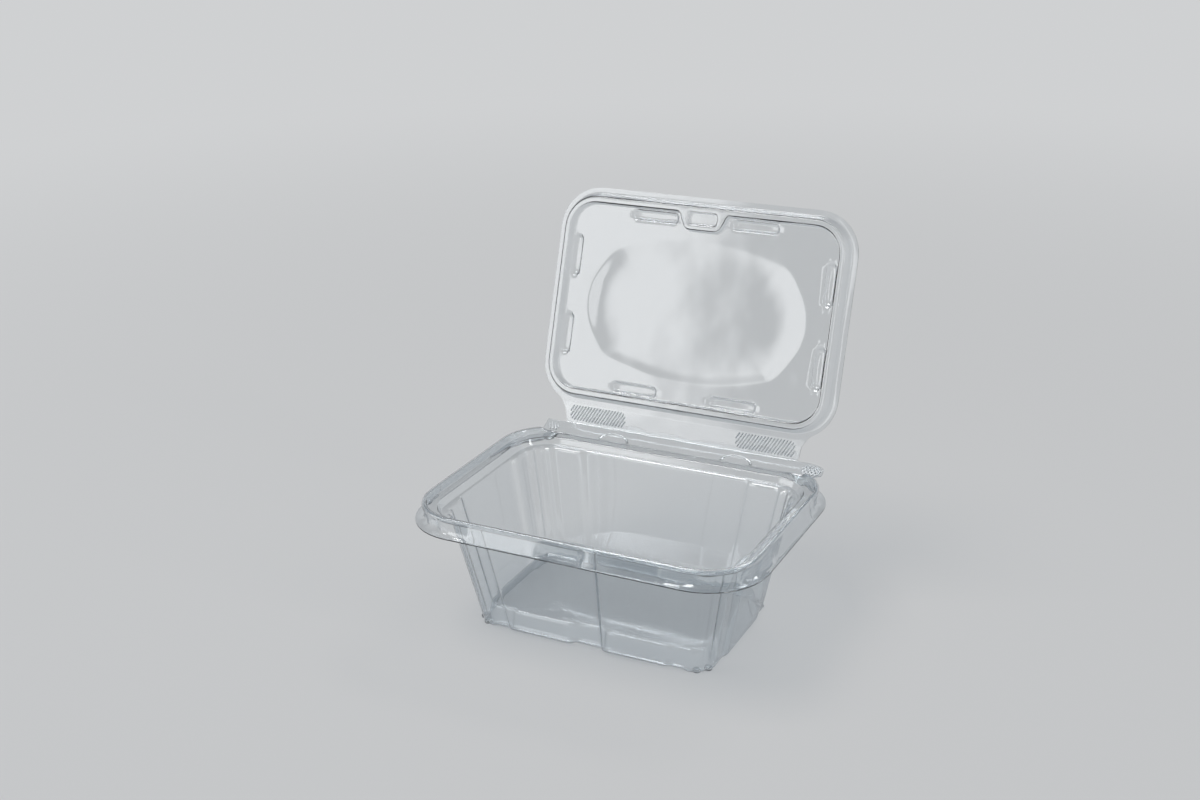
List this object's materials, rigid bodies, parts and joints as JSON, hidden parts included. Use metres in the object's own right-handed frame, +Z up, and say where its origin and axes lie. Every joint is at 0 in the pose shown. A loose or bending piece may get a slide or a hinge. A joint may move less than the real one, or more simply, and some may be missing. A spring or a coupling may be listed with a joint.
{
  "type": "clamshell pack",
  "caption": "Clear hinged clamshell food pack: tapered tray with stepped walls, guard rim and tear strip, joined by a fold to a flanged lid with plug ring, stacking lugs and latch button.",
  "frame": {"origin": "on the table under the middle of the pack's box, with the lid standing open as pictured", "axes": "+X along the fold towards the pull tab, +Y from the latch at the front to the fold at the back, +Z up"},
  "size_m": [0.1878, 0.1804, 0.1934],
  "materials": {
    "clear_sheet": "clear gloss"
  },
  "bodies": {
    "tray": {"tray": "clear_sheet"},
    "lid": {"lid": "clear_sheet"}
  },
  "joints": [
    {"name": "lid_hinge", "type": "hinge", "parent": "tray", "child": "lid", "pos_m": [0, 0.04841, 0.06955], "axis": [-1, 0, 0], "range_deg": [-109, 71]}
  ]
}
